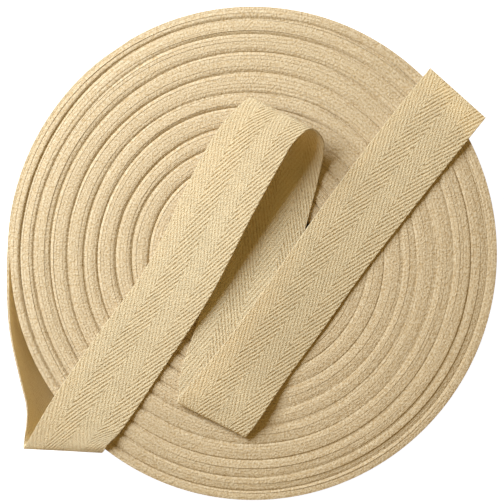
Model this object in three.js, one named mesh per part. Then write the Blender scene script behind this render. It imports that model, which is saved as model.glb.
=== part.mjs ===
// A roll of herringbone cotton tape, lying flat, with its loose end looped over the top.
// Millimetres, +Z up, the origin on the surface below the middle of the winding.
import * as THREE from 'three';

// The tape
const TAPE_WIDTH = 25;
const TAPE_THICKNESS = 1.0;
const TURN_PITCH = 1.1;
const GAP = 0.3;
const TOLERANCE = 0.01;
const COTTON = { color: 0xe6cfa3, roughness: 0.95, metalness: 0 };

// The winding
const OUTER_RADIUS = 83.5;
const HOLE_RADIUS = 23.6;
const CREST_LIFT = 0.9;
const SHOULDER_LIFT = 0.7;
// Shoulder and crest of a band, as shares of its width; the outermost band's stay further in
const SHOULDER_AT = 0.5;
const CREST_AT = 0.8;
const OUTERMOST_SQUEEZE = 0.68;
const LAND_WIDTH = 2;
const ROLL_SEGMENTS = 60;
// The radii where one band of turns stands lower than the next
const GROOVE_RADII = [29.2, 34.6, 40.3, 45.6, 51.9, 56.8, 62.9, 68.9, 74.8, 79.7];
// The inner turns are pushed off centre, the outer ones are not
const OFF_CENTRE = 2.1;
const OFF_CENTRE_TOWARDS = THREE.MathUtils.degToRad(240);
const OFF_CENTRE_FULL_TO = 58;
const OFF_CENTRE_ENDS_AT = 79.7;

// The outermost turn belongs to the loose end from one angle to the other
const WRAP_FROM = 120;
const WRAP_TO = 180;
const WRAP_STEP = 10;
const WRAP_CLEARANCE = 0.2;

// The loose end, section by section: the top edge of the tape as it is wound (a)
// and its bottom edge (b) at each place.
const LOOSE_END = [
  { place: 'starting off the rim', ax: -83.1, ay: -15.0, az: 25.2, bx: -82.4, by: -14.9, bz: 0.2 },
  { place: 'leaving the rim', ax: -82.3, ay: -27.0, az: 25.2, bx: -80.2, by: -26.6, bz: 0.2 },
  { place: 'leaning out', ax: -78.9, ay: -43.2, az: 24.7, bx: -73.0, by: -41.8, bz: 0.4 },
  { place: 'leaning further', ax: -77.0, ay: -52.2, az: 23.0, bx: -68.3, by: -49.8, bz: 0.6 },
  { place: 'turning under', ax: -77.4, ay: -58.5, az: 19.8, bx: -62.2, by: -57.3, bz: 2.0 },
  { place: 'climbing the rim', ax: -78.5, ay: -63.0, az: 16.0, bx: -56.7, by: -63.2, bz: 8.5 },
  { place: 'into the corner fold', ax: -79.0, ay: -65.8, az: 14.0, bx: -53.0, by: -66.6, bz: 18.0 },
  { place: 'corner fold', ax: -78.9, ay: -67.1, az: 15.8, bx: -51.0, by: -67.6, bz: 24.5 },
  { place: 'out of the corner fold', ax: -76.9, ay: -64.3, az: 18.6, bx: -48.8, by: -64.6, bz: 28.0 },
  { place: 'onto the rim', ax: -67.6, ay: -49.1, az: 27.4, bx: -45.2, by: -61.0, bz: 27.4 },
  { place: 'first run, low', ax: -51.7, ay: -26.4, az: 26.9, bx: -29.8, by: -38.5, bz: 27.0 },
  { place: 'first run, middle', ax: -35.1, ay: -3.3, az: 27.8, bx: -14.4, by: -14.9, bz: 30.2 },
  { place: 'first run, high', ax: -20.8, ay: 25.4, az: 31.6, bx: 0.6, by: 13.9, bz: 34.9 },
  { place: 'rising to the loop', ax: -11.3, ay: 41.7, az: 35.4, bx: 9.7, by: 30.3, bz: 37.6 },
  { place: 'loop, near side', ax: -5.8, ay: 48.1, az: 37.2, bx: 14.0, by: 37.2, bz: 39.2 },
  { place: 'loop, top', ax: -0.8, ay: 51.8, az: 37.2, bx: 19.4, by: 41.4, bz: 39.6 },
  { place: 'loop, far side', ax: 1.4, ay: 51.0, az: 33.0, bx: 23.6, by: 38.1, bz: 35.2 },
  { place: 'loop, under', ax: 1.1, ay: 47.6, az: 29.2, bx: 23.9, by: 33.0, bz: 30.4 },
  { place: 'loop, foot', ax: -0.7, ay: 39.5, az: 27.1, bx: 22.6, by: 26.2, bz: 27.8 },
  { place: 'second run, high', ax: -4.0, ay: 24.0, az: 26.7, bx: 18.8, by: 11.6, bz: 26.9 },
  { place: 'second run, middle', ax: -11.0, ay: -0.6, az: 26.6, bx: 13.1, by: -9.5, bz: 26.6 },
  { place: 'second run, low', ax: -18.6, ay: -23.2, az: 26.6, bx: 5.8, by: -32.0, bz: 26.6 },
  { place: 'second run, end', ax: -24.3, ay: -40.5, az: 26.6, bx: 1.0, by: -48.5, bz: 26.6 },
  { place: 'into the lower fold', ax: -25.1, ay: -48.3, az: 26.9, bx: -0.8, by: -59.4, bz: 26.7 },
  { place: 'lower fold', ax: -25.4, ay: -50.4, az: 28.2, bx: -2.3, by: -62.2, bz: 27.6 },
  { place: 'out of the lower fold', ax: -23.5, ay: -47.3, az: 29.7, bx: 0.4, by: -58.9, bz: 28.7 },
  { place: 'third run, over the fold', ax: -20.3, ay: -43.4, az: 30.5, bx: 2.7, by: -55.6, bz: 29.2 },
  { place: 'third run, low', ax: -8.0, ay: -28.5, az: 30.2, bx: 11.5, by: -42.7, bz: 27.0 },
  { place: 'third run, middle', ax: 3.9, ay: -12.3, az: 29.8, bx: 23.4, by: -26.5, bz: 26.7 },
  { place: 'third run, off the second', ax: 19.2, ay: 9.7, az: 29.0, bx: 38.8, by: -5.0, bz: 26.6 },
  { place: 'third run, high', ax: 33.0, ay: 28.5, az: 28.2, bx: 53.0, by: 13.3, bz: 26.7 },
  { place: 'nearing the rim', ax: 46.7, ay: 46.2, az: 27.9, bx: 66.4, by: 30.2, bz: 26.9 },
  { place: 'cut end', ax: 60.1, ay: 62.7, az: 28.6, bx: 79.0, by: 45.9, bz: 27.6 },
];
const STEP_ALONG = 4;
const STEPS_AT_LEAST = 2;
const COLUMNS_ACROSS = 4;

const cotton = () => new THREE.MeshStandardMaterial(COTTON);

// How far a turn of this radius is pushed off centre
function offCentre(radius) {
  const fade = (OFF_CENTRE_ENDS_AT - radius) / (OFF_CENTRE_ENDS_AT - OFF_CENTRE_FULL_TO);
  return OFF_CENTRE * THREE.MathUtils.clamp(fade, 0, 1);
}

// The spiral's outline: it grows by a pitch from where the loose end leaves, and under
// the wrapped stretch it is lower by the tape and the gap.
function outlineRadius(degrees) {
  const round = THREE.MathUtils.euclideanModulo(degrees - WRAP_TO, 360);
  const radius = OUTER_RADIUS - TURN_PITCH * (1 - round / 360);
  const wrapped = round > 359 - (WRAP_TO - WRAP_FROM);
  return wrapped ? radius - TAPE_THICKNESS - GAP : radius;
}

// Half the section of the winding: bands that rise slowly and drop steeply
function windingProfile() {
  const edges = [HOLE_RADIUS, ...GROOVE_RADII, OUTER_RADIUS];
  const bottom = [];
  const top = [];
  for (let i = 0; i < edges.length - 1; i++) {
    const inner = edges[i];
    const width = edges[i + 1] - inner;
    const outermost = i === edges.length - 2;
    const squeeze = outermost ? OUTERMOST_SQUEEZE : 1;
    const shoulder = inner + SHOULDER_AT * squeeze * width;
    const crest = inner + CREST_AT * squeeze * width;
    bottom.push(new THREE.Vector2(inner, 0));
    bottom.push(new THREE.Vector2(inner + LAND_WIDTH / 2, 0));
    if (!outermost) {
      bottom.push(new THREE.Vector2((shoulder + crest) / 2, CREST_LIFT));
      bottom.push(new THREE.Vector2(edges[i + 1] - LAND_WIDTH / 2, 0));
    }
    top.push(new THREE.Vector2(inner, TAPE_WIDTH));
    top.push(new THREE.Vector2(shoulder, TAPE_WIDTH + SHOULDER_LIFT));
    top.push(new THREE.Vector2(crest, TAPE_WIDTH + CREST_LIFT));
  }
  bottom.push(new THREE.Vector2(OUTER_RADIUS, 0));
  top.push(new THREE.Vector2(OUTER_RADIUS, TAPE_WIDTH));
  return [...bottom, ...top.reverse(), bottom[0].clone()];
}

function windingGeometry() {
  const geometry = new THREE.LatheGeometry(windingProfile(), ROLL_SEGMENTS);
  geometry.rotateX(Math.PI / 2);
  const place = geometry.attributes.position;
  for (let i = 0; i < place.count; i++) {
    const x = place.getX(i);
    const y = place.getY(i);
    const angle = Math.atan2(y, x);
    let radius = Math.hypot(x, y);
    if (radius > OUTER_RADIUS - TOLERANCE) radius = outlineRadius(THREE.MathUtils.radToDeg(angle));
    else radius += offCentre(radius) * Math.cos(angle - OFF_CENTRE_TOWARDS);
    place.setXY(i, radius * Math.cos(angle), radius * Math.sin(angle));
  }
  return geometry;
}

// The wrapped stretch as sections of the same kind as the loose end's
function wrappedSections() {
  const sections = [];
  for (let degrees = WRAP_FROM; degrees <= WRAP_TO; degrees += WRAP_STEP) {
    const angle = THREE.MathUtils.degToRad(degrees);
    const lag = (WRAP_TO - degrees) / 360;
    const radius = OUTER_RADIUS - TAPE_THICKNESS / 2 - TURN_PITCH * lag;
    const x = radius * Math.cos(angle);
    const y = radius * Math.sin(angle);
    const top = TAPE_WIDTH + WRAP_CLEARANCE;
    sections.push({ ax: x, ay: y, az: top, bx: x, by: y, bz: WRAP_CLEARANCE });
  }
  return sections;
}

// A flat box of tape, bent so that each cross row lies on the line between both edges
function looseEndGeometry() {
  const sections = [...wrappedSections(), ...LOOSE_END];
  const topEdge = sections.map((s) => new THREE.Vector3(s.ax, s.ay, s.az));
  const bottomEdge = sections.map((s) => new THREE.Vector3(s.bx, s.by, s.bz));
  const topCurve = new THREE.CatmullRomCurve3(topEdge, false, 'centripetal');
  const bottomCurve = new THREE.CatmullRomCurve3(bottomEdge, false, 'centripetal');

  const stations = [0];
  for (let i = 1; i < sections.length; i++) {
    const topLength = topEdge[i].distanceTo(topEdge[i - 1]);
    const bottomLength = bottomEdge[i].distanceTo(bottomEdge[i - 1]);
    const length = Math.max(topLength, bottomLength);
    const steps = Math.max(STEPS_AT_LEAST, Math.round(length / STEP_ALONG));
    for (let k = 1; k <= steps; k++) stations.push((i - 1 + k / steps) / (sections.length - 1));
  }

  const rows = stations.length - 1;
  const geometry = new THREE.BoxGeometry(1, 1, TAPE_THICKNESS, COLUMNS_ACROSS, rows, 1);
  const place = geometry.attributes.position;
  const ahead = 1e-4;
  for (let i = 0; i < place.count; i++) {
    const across = place.getX(i) + 0.5;
    const station = stations[Math.round((place.getY(i) + 0.5) * rows)];
    const height = place.getZ(i);
    const at = (t) => topCurve.getPoint(t).lerp(bottomCurve.getPoint(t), across);
    const point = at(station);
    const along = at(Math.min(1, station + ahead)).sub(at(Math.max(0, station - ahead)));
    const width = bottomCurve.getPoint(station).sub(topCurve.getPoint(station));
    const outward = width.cross(along).normalize();
    point.addScaledVector(outward, height);
    place.setXYZ(i, point.x, point.y, point.z);
  }
  return geometry;
}

const roll = new THREE.Mesh(windingGeometry(), cotton());
roll.name = 'wound_tape';

const looseEnd = new THREE.Mesh(looseEndGeometry(), cotton());
looseEnd.name = 'loose_end';

const tapeRoll = new THREE.Group();
tapeRoll.add(roll, looseEnd);

export default tapeRoll;
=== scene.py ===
"""A roll of unbleached herringbone cotton tape, lying flat, its loose end looped over the top.

Sizes are in millimetres and are turned to metres where a mesh, lamp or camera is made.
"""
import math

import bpy
import numpy as np
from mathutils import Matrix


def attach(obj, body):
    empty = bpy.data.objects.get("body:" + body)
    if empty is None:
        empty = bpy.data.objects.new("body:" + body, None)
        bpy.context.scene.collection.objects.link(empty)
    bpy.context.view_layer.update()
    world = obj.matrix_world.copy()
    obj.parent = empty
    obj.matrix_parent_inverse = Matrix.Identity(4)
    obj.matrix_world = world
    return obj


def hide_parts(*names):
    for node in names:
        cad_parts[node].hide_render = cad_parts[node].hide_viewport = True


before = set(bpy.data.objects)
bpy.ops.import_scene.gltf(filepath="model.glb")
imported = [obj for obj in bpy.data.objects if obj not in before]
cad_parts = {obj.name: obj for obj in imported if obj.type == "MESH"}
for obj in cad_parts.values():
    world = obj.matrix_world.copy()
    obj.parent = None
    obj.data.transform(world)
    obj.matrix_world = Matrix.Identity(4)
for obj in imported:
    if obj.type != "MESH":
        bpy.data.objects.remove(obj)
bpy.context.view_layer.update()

MM = 0.001
TURN = 2 * math.pi

# The tape: herringbone twill, 25 mm wide
TAPE_WIDTH = 25.0
TAPE_THICKNESS = 1.0
WOUND_THICKNESS = 1.08  # with the air between turns
LOOSE_THICKNESS = 0.7  # where nothing presses on it
LOOSE_SETTLES = 0.15  # how much lower it lies than its solid
HERRINGBONE_COLUMNS = 4
ENDS_IN_A_COLUMN = 21  # warp threads
PICK = 0.71  # from one weft thread to the next
TWILL_REPEAT = 4  # threads over which the twill repeats, both ways
RIB_SWAY = 1.2  # how far the ribs stray along the tape
RIB_HEIGHT = 0.5  # as the bump draws it, from the deepest gap to the highest crown
GAP_SHARPNESS = 1.4  # above 1, the gaps are narrower than the ribs
GAP_LEAST_OPEN = 0.3
# How deep the gaps are where the ribs run with the yarn's twist, and against it
GAPS_WITH_TWIST = 0.38
GAPS_AGAINST_TWIST = 0.68
# The relief of the cloth without its gaps: a level, and what the fluff adds
CLOTH_LEVEL = 0.08
FLUFF_RELIEF = 1.4
UNEVEN_SHADES = (0.94, 1.05)  # what the slow unevenness multiplies the colour by
# Patterns on the flat sides, in spots to a millimetre. The threads' own speckle is drawn coarser than
# the threads, which lie 0.3 mm apart and are too fine to show.
UNEVEN_SPOTS = 0.22
THREAD_SPOTS = 1.15
FLUFF_SPOTS = 2.3
# And on the selvedge
SELVEDGE_UNEVEN_SPOTS = 0.08
SELVEDGE_FUZZ_SPOTS = 1.5
SELVEDGE_FUZZ_HEIGHT = 0.14

# The winding: about 54 turns, in bands that rise slowly and drop steeply
OUTER_RADIUS = 83.5
HOLE_RADIUS = 23.6
TURN_PITCH = 1.1
GROOVE_RADII = (29.2, 34.6, 40.3, 45.6, 51.9, 56.8, 62.9, 68.9, 74.8, 79.7)
BAND_ENDS = 0.01  # keeps every turn inside the first and the last band
UPPER_LEFT = 2.6  # a direction, in radians
# How much higher than the tape is wide the sides of a band stand, and how that drops towards the rim
SHOULDER = 0.7
SHOULDER_DROP = 0.4
SHOULDER_DROPS_FROM = 74.0
SHOULDER_DROPS_TO = 80.0
# Where the crest of a band lies, as a share of its width from its inner side
CREST_AT = 0.28
CREST_AT_LOWER_RIGHT = 0.46
# How far the grooves reach into a band, from its inner and from its outer side
GROOVE_INNER = 0.4
GROOVE_OUTER = 0.35
# At the upper left the grooves lie twice this further in
GROOVE_SHIFT = 0.3
# How the grooves stray: how far, how many times round, and the radians for each millimetre of radius
GROOVE_STRAYS = ((0.25, 2, 0.11), (0.15, 5, -0.23))
# How their depth varies: by how much, how many times round, and the radians from band to band
GROOVE_UNEVEN = (0.2, 3, 2.0)
# Nearest the rim, about one turn lies evenly sunk by this share of the depth
OUTERMOST = 1.5
OUTERMOST_SUNK = 0.2
# A second sunk turn: its place from the band's inner side, width, share of the depth, and the radians
# from band to band
SLIPPED_AT = 1.4
SLIPPED_WIDTH = 0.35
SLIPPED_DEPTH = 0.35
SLIPPED_SHIFT = 2.1
# How unevenly single turns stand: how much, how many times round, and the radians from turn to turn
UNEVEN_TURNS = ((0.05, 0, 2.4), (0.04, 3, 1.7))
# How much less evenly the turns stand towards the rim, and between which radii that grows
LOOSER_BY = 1.2
LOOSER_FROM = 64.0
LOOSER_TO = 76.0
# Round the roll: the angle in degrees, how deep the grooves are there, and how high the bands arch
BANDS_ROUND_THE_ROLL = (
    (0, 0.05, 0.19), (30, 0.3, 0.26), (60, 0.65, 0.42), (90, 0.34, 0.38), (120, 0.28, 0.36),
    (150, 0.31, 0.38), (180, 0.36, 0.40), (210, 0.6, 0.46), (240, 0.45, 0.40), (270, 0.14, 0.27),
    (300, 0.06, 0.25), (330, 0.05, 0.24),
)
# The inner turns lie off the middle: in full up to one radius, and not at all from the next
OFF_CENTRE = 2.1
OFF_CENTRE_TOWARDS = math.radians(240)
OFF_CENTRE_FULL_TO = 58.0
OFF_CENTRE_ENDS_AT = 79.7
# The rim is wider up and down than across, and bulges to one side. Further in, the turns are rounder.
OUT_OF_ROUND = 0.45
BULGE = 0.3
BULGE_TOWARDS = math.radians(285)
ROUNDER_INWARDS = 3  # the power of the radius that the two go by
# How much lower the tape's edge is at its corners, and a little way in from them
EDGE_BEVEL = 0.08
EDGE_DIP = 0.01
WINDING_STEP = 1.9  # along the tape, from one ring of points to the next

# The outermost turn belongs to the loose end between these angles, in degrees
WRAP_FROM = 120
WRAP_TO = 180
WRAP_STEP = 10
WRAP_CLEARANCE = 0.2  # between its lower edge and the table
WINDING_TUCK = 0.004  # the angle, in radians, that the winding's end reaches inside the loose end

# The loose end: the tape's top edge as wound (x, y, z), and its bottom edge (x, y, z)
LOOSE_END = (
    ("starting off the rim", (-83.1, -15.0, 25.2), (-82.4, -14.9, 0.2)),
    ("leaving the rim", (-82.3, -27.0, 25.2), (-80.2, -26.6, 0.2)),
    ("leaning out", (-78.9, -43.2, 24.7), (-73.0, -41.8, 0.4)),
    ("leaning further", (-77.0, -52.2, 23.0), (-68.3, -49.8, 0.6)),
    ("turning under", (-77.4, -58.5, 19.8), (-62.2, -57.3, 2.0)),
    ("climbing the rim", (-78.5, -63.0, 16.0), (-56.7, -63.2, 8.5)),
    ("into the corner fold", (-79.0, -65.8, 14.0), (-53.0, -66.6, 18.0)),
    ("corner fold", (-78.9, -67.1, 15.8), (-51.0, -67.6, 24.5)),
    ("out of the corner fold", (-76.9, -64.3, 18.6), (-48.8, -64.6, 28.0)),
    ("onto the rim", (-67.6, -49.1, 27.4), (-45.2, -61.0, 27.4)),
    ("first run, low", (-51.7, -26.4, 26.9), (-29.8, -38.5, 27.0)),
    ("first run, middle", (-35.1, -3.3, 27.8), (-14.4, -14.9, 30.2)),
    ("first run, high", (-20.8, 25.4, 31.6), (0.6, 13.9, 34.9)),
    ("rising to the loop", (-11.3, 41.7, 35.4), (9.7, 30.3, 37.6)),
    ("loop, near side", (-5.8, 48.1, 37.2), (14.0, 37.2, 39.2)),
    ("loop, top", (-0.8, 51.8, 37.2), (19.4, 41.4, 39.6)),
    ("loop, far side", (1.4, 51.0, 33.0), (23.6, 38.1, 35.2)),
    ("loop, under", (1.1, 47.6, 29.2), (23.9, 33.0, 30.4)),
    ("loop, foot", (-0.7, 39.5, 27.1), (22.6, 26.2, 27.8)),
    ("second run, high", (-4.0, 24.0, 26.7), (18.8, 11.6, 26.9)),
    ("second run, middle", (-11.0, -0.6, 26.6), (13.1, -9.5, 26.6)),
    ("second run, low", (-18.6, -23.2, 26.6), (5.8, -32.0, 26.6)),
    ("second run, end", (-24.3, -40.5, 26.6), (1.0, -48.5, 26.6)),
    ("into the lower fold", (-25.1, -48.3, 26.9), (-0.8, -59.4, 26.7)),
    ("lower fold", (-25.4, -50.4, 28.2), (-2.3, -62.2, 27.6)),
    ("out of the lower fold", (-23.5, -47.3, 29.7), (0.4, -58.9, 28.7)),
    ("third run, over the fold", (-20.3, -43.4, 30.5), (2.7, -55.6, 29.2)),
    ("third run, low", (-8.0, -28.5, 30.2), (11.5, -42.7, 27.0)),
    ("third run, middle", (3.9, -12.3, 29.8), (23.4, -26.5, 26.7)),
    ("third run, off the second", (19.2, 9.7, 29.0), (38.8, -5.0, 26.6)),
    ("third run, high", (33.0, 28.5, 28.2), (53.0, 13.3, 26.7)),
    ("nearing the rim", (46.7, 46.2, 27.9), (66.4, 30.2, 26.9)),
    ("cut end", (60.1, 62.7, 28.6), (79.0, 45.9, 27.6)),
)
LOOSE_STEP = 1.2  # along the tape, from one ring of points to the next
LOOSE_STEPS_AT_LEAST = 5  # between two of the sections above
SELVEDGE_ROUNDING = 0.15  # how far in from the selvedge the loose tape is rounded
SELVEDGE_THICKNESS = 0.75  # as a share of the tape's
# Where points lie across half the tape, as shares of its width
ACROSS = (0.0, 0.005, 0.012, 0.02, 0.04, 0.08, 0.14, 0.2, 0.28, 0.36, 0.44, 0.5)

# The camera looks straight down on the roll
CAMERA_PLACE = (-0.17, 0.41, 725.0)
FRAME_PIXELS = 504
PIXELS_PER_SLOPE = 2058.8  # the lens, as the pixels from the picture's middle for a slope of one
SENSOR = 36.0
# The white table, from its middle to its sides, and the square in its middle that isn't lit from below
TABLE_REACH = 1500.0
UNLIT_REACH = 50.0


def linear(hex_colour):
    """An sRGB hex colour as linear RGBA."""
    channels = (int(hex_colour[i:i + 2], 16) / 255 for i in (1, 3, 5))
    return (*(c / 12.92 if c <= 0.04045 else ((c + 0.055) / 1.055) ** 2.4 for c in channels), 1.0)


def add(tree, kind, *values, inputs=None, **settings):
    """Adds a node with its settings. values go to its inputs in order, and inputs to those named; each
    is a number, a colour, a vector, or the node or socket that feeds it."""
    made = tree.nodes.new("ShaderNode" + kind)
    for name, value in settings.items():
        setattr(made, name, value)
    for place, value in [*enumerate(values), *(inputs or {}).items()]:
        if isinstance(value, bpy.types.Node):
            value = value.outputs[0]
        if isinstance(value, bpy.types.NodeSocket):
            tree.links.new(value, made.inputs[place])
        elif value is not None:
            made.inputs[place].default_value = value
    return made


def cotton(name, crown, painted_hollow_shade, height, height_mm, light_through=None):
    """Unbleached cotton: matt, a little furry at a flat angle. height is a function that adds the
    relief's nodes to the tree and returns the relief and a slow unevenness, both from 0 to 1.
    light_through is the colour of the light that one layer lets through, and how large a share it is."""
    material = bpy.data.materials.new(name)
    material.use_nodes = True
    tree = material.node_tree
    tree.nodes.clear()
    relief, unevenness = height(tree)
    # Low places in the relief take the darker hollow colour: painted shade in the gaps between the ribs and
    # the dips of the fuzz
    shade = add(tree, "Mix", relief, data_type="RGBA", inputs={6: linear(painted_hollow_shade), 7: linear(crown)})
    brightness = add(tree, "MapRange", unevenness, 0.25, 0.75, *UNEVEN_SHADES)
    tone = add(tree, "VectorMath", shade.outputs[2], operation="SCALE", inputs={"Scale": brightness})
    bump = add(tree, "Bump", inputs={"Height": relief, "Distance": height_mm * MM, "Strength": 1.0})
    cloth = add(tree, "BsdfPrincipled", inputs={
        "Base Color": tone, "Roughness": 0.92, "IOR": 1.5, "Normal": bump,
        "Specular IOR Level": 0.2, "Sheen Weight": 0.1, "Sheen Roughness": 0.5,
    })
    if light_through:
        colour, share = light_through
        glow = add(tree, "BsdfTranslucent", linear(colour))
        cloth = add(tree, "MixShader", share, cloth, glow)
    add(tree, "OutputMaterial", cloth)
    return material


def tape_millimetres(tree):
    """Places on the tape, across and along it, in millimetres."""
    uv = add(tree, "UVMap", uv_map="tape")
    return add(tree, "VectorMath", uv, operation="SCALE", inputs={"Scale": TAPE_WIDTH})


def herringbone_relief(tree):
    """2/2 twill in four columns that lean left and right by turns: each warp thread floats over two
    weft threads and under two, one pick further on from thread to thread. The threads themselves are
    finer than the picture's dots, so they show as a speckle along the ribs."""
    place = tape_millimetres(tree)
    axes = add(tree, "SeparateXYZ", place)
    slow = add(tree, "TexNoise", inputs={"Vector": place, "Scale": UNEVEN_SPOTS, "Detail": 2.0})
    threads = add(tree, "TexNoise", inputs={"Vector": place, "Scale": THREAD_SPOTS, "Detail": 1.0})
    fluff = add(tree, "TexNoise", inputs={"Vector": place, "Scale": FLUFF_SPOTS, "Detail": 2.0})
    column = TAPE_WIDTH / HERRINGBONE_COLUMNS
    end = column / ENDS_IN_A_COLUMN

    # slope counts the ribs: across a column each thread starts one pick further along
    across = add(tree, "Math", axes.outputs[0], column, operation="PINGPONG")
    column_number = add(tree, "Math", axes.outputs[0], column, operation="DIVIDE")
    whole_columns = add(tree, "Math", column_number, operation="FLOOR")
    half_step = add(tree, "Math", whole_columns, 0.5, operation="MULTIPLY")
    sway = add(tree, "Math", slow, RIB_SWAY, axes.outputs[1], operation="MULTIPLY_ADD")
    along = add(tree, "Math", sway, 1 / (TWILL_REPEAT * PICK), half_step, operation="MULTIPLY_ADD")
    slope = add(tree, "Math", across, 1 / (TWILL_REPEAT * end), along, operation="MULTIPLY_ADD")

    # A rib is round on top, with a narrow gap beside it that the threads close here and there
    off_rib = add(tree, "Math", slope, 0.5, operation="PINGPONG")
    from_crown = add(tree, "Math", off_rib, 2.0, operation="MULTIPLY")
    in_gap = add(tree, "Math", from_crown, GAP_SHARPNESS, operation="POWER")
    openness = add(tree, "MapRange", threads, 0.35, 0.65, GAP_LEAST_OPEN, 1.0)
    # Ribs that run the way the yarn is twisted sink into it, so every other column is fainter. The
    # half step's fraction is a half in the columns that lean against the twist, and else nothing.
    against_twist = add(tree, "Math", half_step, operation="FRACT")
    deeper = 2 * (GAPS_AGAINST_TWIST - GAPS_WITH_TWIST)
    strength = add(tree, "Math", against_twist, deeper, GAPS_WITH_TWIST, operation="MULTIPLY_ADD")
    gap_depth = add(tree, "Math", openness, strength, operation="MULTIPLY")
    gap = add(tree, "Math", in_gap, gap_depth, operation="MULTIPLY")
    ribs = add(tree, "Math", gap, -1.0, CLOTH_LEVEL, operation="MULTIPLY_ADD")
    relief = add(tree, "Math", fluff, FLUFF_RELIEF, ribs, operation="MULTIPLY_ADD", use_clamp=True)
    return relief, slow


def selvedge_relief(tree):
    """The tape's edge, where the weft turns back: small loops with a fuzz of loose fibre."""
    on_tape = tape_millimetres(tree)
    slow = add(tree, "TexNoise", inputs={"Vector": on_tape, "Scale": SELVEDGE_UNEVEN_SPOTS, "Detail": 2.0})
    place = add(tree, "TexCoord").outputs["Object"]
    fuzz = add(tree, "TexNoise", inputs={"Vector": place, "Scale": SELVEDGE_FUZZ_SPOTS / MM, "Detail": 3.0})
    return add(tree, "MapRange", fuzz, 0.3, 0.66, 0.0, 1.0), slow


def herringbone_cotton():
    """The tape's flat sides: creamy ribs, with the hollows between them painted brown-gold as shade. Light
    comes through warm and golden, which shows inside the loop and behind the stretch that leans out."""
    golden = ("#FFE9BC", 0.33)
    return cotton("herringbone cotton", "#FDF6D6", "#CDB482", herringbone_relief, RIB_HEIGHT, golden)


def selvedge_cotton():
    """The tape's edges, which face up and down in the roll: speckled, and a little darker than the flat
    sides, which is painted shade of the fuzz.
    """
    return cotton("selvedge cotton", "#D1C4A7", "#B39C74", selvedge_relief, SELVEDGE_FUZZ_HEIGHT)


def strip_mesh(name, rings, ring_uv, selvedge_faces, materials):
    """A closed tape: rings of points, one ring for each place along it, and a cap at both ends.
    selvedge_faces are the steps round the ring that lie on the tape's edges: they take the second
    material and stay crisp."""
    count, around = rings.shape[:2]
    corners = np.arange(count * around).reshape(count, around)
    a, b = corners[:-1], corners[1:]
    faces = np.stack([a, np.roll(a, -1, 1), np.roll(b, -1, 1), b], axis=2).reshape(-1, 4)
    caps = [corners[0][::-1].tolist(), corners[-1].tolist()]
    mesh = bpy.data.meshes.new(name)
    mesh.from_pydata((rings.reshape(-1, 3) * MM).tolist(), [], faces.tolist() + caps)
    for material in materials:
        mesh.materials.append(material)
    slots = np.zeros((count - 1, around), int)
    slots[:, selvedge_faces] = 1
    mesh.polygons.foreach_set("material_index", np.append(slots.ravel(), [1, 1]))
    mesh.polygons.foreach_set("use_smooth", np.append(slots.ravel() == 0, [False, False]))
    on_selvedge = slots[0] == 1
    beside_selvedge = on_selvedge | np.roll(on_selvedge, 1)
    # The long edges beside the selvedge are sharp, so that the flat sides aren't shaded round onto it
    ends = np.zeros(2 * len(mesh.edges), int)
    mesh.edges.foreach_get("vertices", ends)
    ends = ends.reshape(-1, 2) % around
    runs_along = ends[:, 0] == ends[:, 1]
    mesh.edges.foreach_set("use_edge_sharp", runs_along & beside_selvedge[ends[:, 0]])
    layer = mesh.uv_layers.new(name="tape")
    of_loop = np.zeros(len(mesh.loops), int)
    mesh.loops.foreach_get("vertex_index", of_loop)
    layer.data.foreach_set("uv", ring_uv.reshape(-1, 2)[of_loop].astype(np.float32).ravel())
    mesh.update()
    piece = bpy.data.objects.new(name, mesh)
    bpy.context.scene.collection.objects.link(piece)
    return piece


def out_of_round(angle):
    """How much the rim stands out beyond OUTER_RADIUS."""
    return OUT_OF_ROUND - OUT_OF_ROUND * np.cos(2 * angle) + BULGE * np.cos(angle - BULGE_TOWARDS)


def off_centre(radius):
    """How far a turn of this radius is pushed off the middle."""
    fade = (OFF_CENTRE_ENDS_AT - radius) / (OFF_CENTRE_ENDS_AT - OFF_CENTRE_FULL_TO)
    return OFF_CENTRE * np.clip(fade, 0, 1)


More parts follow.
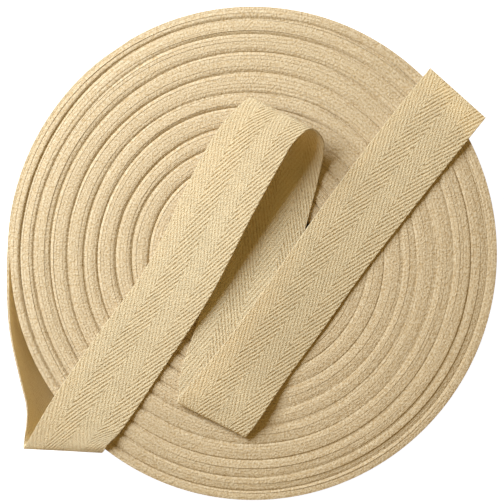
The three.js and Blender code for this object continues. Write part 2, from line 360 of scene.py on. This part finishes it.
def band_lift(radius, angle, turn):
    """How much higher than the tape is wide a turn's edge stands. Each band is a low arch, and a turn
    or so has sunk between it and the next."""
    sway = GROOVE_SHIFT * (1 + np.cos(angle - UPPER_LEFT))
    for size, times_round, shift in GROOVE_STRAYS:
        sway = sway + size * np.sin(times_round * angle + shift * radius)
    edges = np.array((HOLE_RADIUS, *GROOVE_RADII, OUTER_RADIUS))
    at = np.clip(radius + sway, edges[0] + BAND_ENDS, edges[-1] - BAND_ENDS)
    band = np.searchsorted(edges, at) - 1
    inner, outer = at - edges[band], edges[band + 1] - at
    share = inner / (inner + outer)
    lower_right = (1 - np.cos(angle - UPPER_LEFT)) / 2
    crest_at = CREST_AT + (CREST_AT_LOWER_RIGHT - CREST_AT) * lower_right
    past_crest = np.where(share < crest_at, 1 - share / crest_at, (share - crest_at) / (1 - crest_at))
    dropped = np.clip((at - SHOULDER_DROPS_FROM) / (SHOULDER_DROPS_TO - SHOULDER_DROPS_FROM), 0, 1)
    shoulder = SHOULDER - SHOULDER_DROP * dropped
    round_the_roll, depths, arches = zip(*BANDS_ROUND_THE_ROLL)
    degrees = np.degrees(angle) % 360
    arched = np.interp(degrees, round_the_roll, arches, period=360)
    arch = shoulder + arched * np.cos(np.pi / 2 * past_crest)
    sunk = np.exp(-(inner / GROOVE_INNER) ** 2) + np.exp(-(outer / GROOVE_OUTER) ** 2)
    sunk = np.where(edges[-1] - at < OUTERMOST, OUTERMOST_SUNK, sunk)
    depth = np.interp(degrees, round_the_roll, depths, period=360)
    varies, times_round, shift = GROOVE_UNEVEN
    depth = depth * (1 + varies * np.sin(times_round * angle + shift * band))
    # Some bands have slipped once more, a turn further out
    slipped = np.exp(-((inner - SLIPPED_AT) / SLIPPED_WIDTH) ** 2)
    slipped = slipped * np.clip(np.sin(angle + SLIPPED_SHIFT * band), 0, 1)
    uneven = 0.0
    for size, times_round, shift in UNEVEN_TURNS:
        uneven = uneven + size * np.sin(times_round * angle + shift * turn)
    # The outermost turns were wound more loosely and stand less evenly
    looseness = 1 + LOOSER_BY * np.clip((at - LOOSER_FROM) / (LOOSER_TO - LOOSER_FROM), 0, 1)
    return arch - depth * (sunk + SLIPPED_DEPTH * slipped) + uneven * looseness


def wound_tape(materials):
    """The wound tape as what it is: one long strip on edge, in a spiral."""
    middle = OUTER_RADIUS - TAPE_THICKNESS / 2
    shrink = TURN_PITCH / TURN
    # back is the angle along the spiral, counted inwards from where the loose end leaves the rim
    back_from = math.radians(WRAP_TO - WRAP_FROM)
    back_to = (middle - HOLE_RADIUS - TAPE_THICKNESS / 2) / shrink

    def length_at(back):
        return middle * back - shrink * back ** 2 / 2

    lengths = np.arange(length_at(back_to), length_at(back_from), -WINDING_STEP)
    back = (middle - np.sqrt(middle ** 2 - 2 * shrink * lengths)) / shrink
    # The last ring lies a hair inside the loose end, so that no gap shows between the two
    back[-1] = back_from - WINDING_TUCK
    angle = math.radians(WRAP_TO) - back
    turn = back / TURN

    half = WOUND_THICKNESS / 2
    # Round the section: out from the middle, height, and whether it is measured from the top
    section = (
        (half, 0.0, 0), (half, -EDGE_BEVEL, 1), (0.9 * half, -EDGE_DIP, 1), (0.4 * half, 0.0, 1),
        (-0.4 * half, 0.0, 1), (-0.9 * half, -EDGE_DIP, 1), (-half, -EDGE_BEVEL, 1), (-half, 0.0, 0),
    )
    out, high, top = (np.array(column) for column in zip(*section))
    radius = (middle - shrink * back)[:, None] + out[None, :]
    lift = band_lift(radius, angle[:, None], turn[:, None])
    height = high[None, :] + (TAPE_WIDTH + lift) * top[None, :]
    out_of_place = off_centre(radius) * np.cos(angle - OFF_CENTRE_TOWARDS)[:, None]
    inwards = (radius / OUTER_RADIUS) ** ROUNDER_INWARDS
    radius = radius + out_of_place + out_of_round(angle)[:, None] * inwards
    rings = np.stack([radius * np.cos(angle)[:, None], radius * np.sin(angle)[:, None], height], 2)

    along = length_at(back_from) - length_at(back)
    across = np.where(top > 0, 0.0, 1.0)
    uv = np.stack(np.broadcast_arrays(across[None, :], along[:, None] / TAPE_WIDTH), 2)
    rings, uv = rings[:, ::-1], uv[:, ::-1]
    return strip_mesh("wound_cotton_tape", rings, uv, [1, 2, 3, 4, 5, 7], materials)


def through(points, t):
    """The centripetal Catmull-Rom curve through points, at places t counted in points."""
    ends = 2 * points[0] - points[1], 2 * points[-1] - points[-2]
    padded = np.vstack([ends[0], points, ends[1]])
    i = np.clip(np.floor(t).astype(int), 0, len(points) - 2)
    w = (t - i)[:, None]
    p0, p1, p2, p3 = (padded[i + k] for k in range(4))
    pairs = ((p0, p1), (p1, p2), (p2, p3))
    d0, d1, d2 = (np.linalg.norm(b - a, axis=1)[:, None] ** 0.5 for a, b in pairs)
    m1 = ((p1 - p0) / d0 - (p2 - p0) / (d0 + d1) + (p2 - p1) / d1) * d1
    m2 = ((p2 - p1) / d1 - (p3 - p1) / (d1 + d2) + (p3 - p2) / d2) * d1
    return p1 + m1 * w + (3 * (p2 - p1) - 2 * m1 - m2) * w ** 2 + (2 * (p1 - p2) + m1 + m2) * w ** 3


def wrapped_sections():
    """The stretch of the loose end that is still wound, in rows like LOOSE_END's."""
    rows = []
    for degrees in range(WRAP_FROM, WRAP_TO + 1, WRAP_STEP):
        radius = OUTER_RADIUS - TAPE_THICKNESS / 2 - TURN_PITCH * (WRAP_TO - degrees) / 360
        radius += float(out_of_round(math.radians(degrees)))
        x, y = (radius * f(math.radians(degrees)) for f in (math.cos, math.sin))
        rows.append(("still wound", (x, y, TAPE_WIDTH + WRAP_CLEARANCE), (x, y, WRAP_CLEARANCE)))
    return rows


def loose_end(materials):
    """The tape's free length: a thin sheet through the same sections as its solid. Returns the
    piece and its flat length."""
    wrapped = wrapped_sections()
    rows = wrapped + list(LOOSE_END)
    top_edge = np.array([row[1] for row in rows])
    bottom_edge = np.array([row[2] for row in rows])
    places = [0.0]
    for i in range(len(rows) - 1):
        gap = max(np.linalg.norm(edge[i + 1] - edge[i]) for edge in (top_edge, bottom_edge))
        steps = max(LOOSE_STEPS_AT_LEAST, round(gap / LOOSE_STEP))
        places.extend(i + k / steps for k in range(1, steps + 1))
    places = np.array(places)
    a, b = through(top_edge, places), through(bottom_edge, places)

    across = np.array(ACROSS + tuple(1 - u for u in reversed(ACROSS[:-1])))
    flat = a[:, None] + (b - a)[:, None] * across[None, :, None] - (0, 0, LOOSE_SETTLES)
    along = np.gradient(flat, axis=0)
    outward = np.cross((b - a)[:, None], along)
    outward /= np.linalg.norm(outward, axis=2)[..., None]

    middle = (a + b) / 2
    length = np.concatenate([[0], np.cumsum(np.linalg.norm(np.diff(middle, axis=0), axis=1))])
    rim = np.clip(np.minimum(across, 1 - across) * TAPE_WIDTH / SELVEDGE_ROUNDING, 0, 1)
    rounded = SELVEDGE_THICKNESS + (1 - SELVEDGE_THICKNESS) * np.sqrt(1 - (1 - rim) ** 2)
    # Off the rim nothing presses on the tape any more, and it gets thinner over two sections
    lets_go = (len(wrapped) - 1, len(wrapped) + 1)
    half = np.interp(places, lets_go, (WOUND_THICKNESS / 2, LOOSE_THICKNESS / 2))
    shell = outward * half[:, None, None] * rounded[None, :, None]
    rings = np.concatenate([flat + shell, (flat - shell)[:, ::-1]], axis=1)
    u = np.concatenate([across, across[::-1]])
    uv = np.stack(np.broadcast_arrays(u[None, :], length[:, None] / TAPE_WIDTH), 2)
    n = len(across)
    return strip_mesh("loose_cotton_tape", rings, uv, [n - 1, 2 * n - 1], materials), float(length[-1])


def camera():
    """A long lens straight above, so the roll fills the frame as in the photo."""
    data = bpy.data.cameras.new("camera")
    data.sensor_width = SENSOR
    data.lens = SENSOR * PIXELS_PER_SLOPE / FRAME_PIXELS
    made = bpy.data.objects.new("camera", data)
    made.location = [c * MM for c in CAMERA_PLACE]
    bpy.context.scene.collection.objects.link(made)
    bpy.context.scene.camera = made


def lamp(name, place_mm, size_mm, watts, colour):
    """A square soft lamp that faces the middle of the roll."""
    data = bpy.data.lights.new(name, "AREA")
    data.size = size_mm * MM
    data.energy = watts
    data.color = linear(colour)[:3]
    made = bpy.data.objects.new(name, data)
    made.location = [c * MM for c in place_mm]
    made.rotation_euler = (-made.location).to_track_quat("-Z", "Y").to_euler()
    bpy.context.scene.collection.objects.link(made)


def table():
    """A plain white table. It is lit from below as well, so that shadows on it stay pale, but not under
    the middle of the roll, so that the open hole stays dark."""
    far, near = TABLE_REACH * MM, UNLIT_REACH * MM
    ring = ((-1, -1), (1, -1), (1, 1), (-1, 1))
    corners = [(x * far, y * far, 0) for x, y in ring] + [(x * near, y * near, 0) for x, y in ring]
    around = [(i, (i + 1) % 4, 4 + (i + 1) % 4, 4 + i) for i in range(4)]
    mesh = bpy.data.meshes.new("white_table")
    mesh.from_pydata(corners, [], around + [(4, 5, 6, 7)])
    for name, strength in (("lit white table", 1.0), ("white table", 0.0)):
        material = bpy.data.materials.new(name)
        material.use_nodes = True
        surface = material.node_tree.nodes["Principled BSDF"]
        surface.inputs["Base Color"].default_value = linear("#B8B8B6")
        surface.inputs["Roughness"].default_value = 0.9
        surface.inputs["Emission Color"].default_value = linear("#EEF4FF")
        surface.inputs["Emission Strength"].default_value = strength
        mesh.materials.append(material)
    mesh.polygons[4].material_index = 1
    made = bpy.data.objects.new("white_table", mesh)
    bpy.context.scene.collection.objects.link(made)


def daylight():
    """An even pale sky that fills the shadows."""
    world = bpy.data.worlds.new("even pale sky")
    world.use_nodes = True
    sky = world.node_tree.nodes["Background"]
    sky.inputs["Color"].default_value = linear("#FFD582")
    sky.inputs["Strength"].default_value = 0.35
    bpy.context.scene.world = world


camera()
lamp("key", place_mm=(-422, 355, 431), size_mm=400, watts=9.2, colour="#F4F8FF")
daylight()
table()
bpy.context.scene.view_settings.view_transform = "Standard"

cloth = [herringbone_cotton(), selvedge_cotton()]
wound = wound_tape(cloth)
loose, loose_length = loose_end(cloth)
for piece, node in ((wound, "wound_tape"), (loose, "loose_end")):
    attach(piece, "root")
    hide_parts(node)
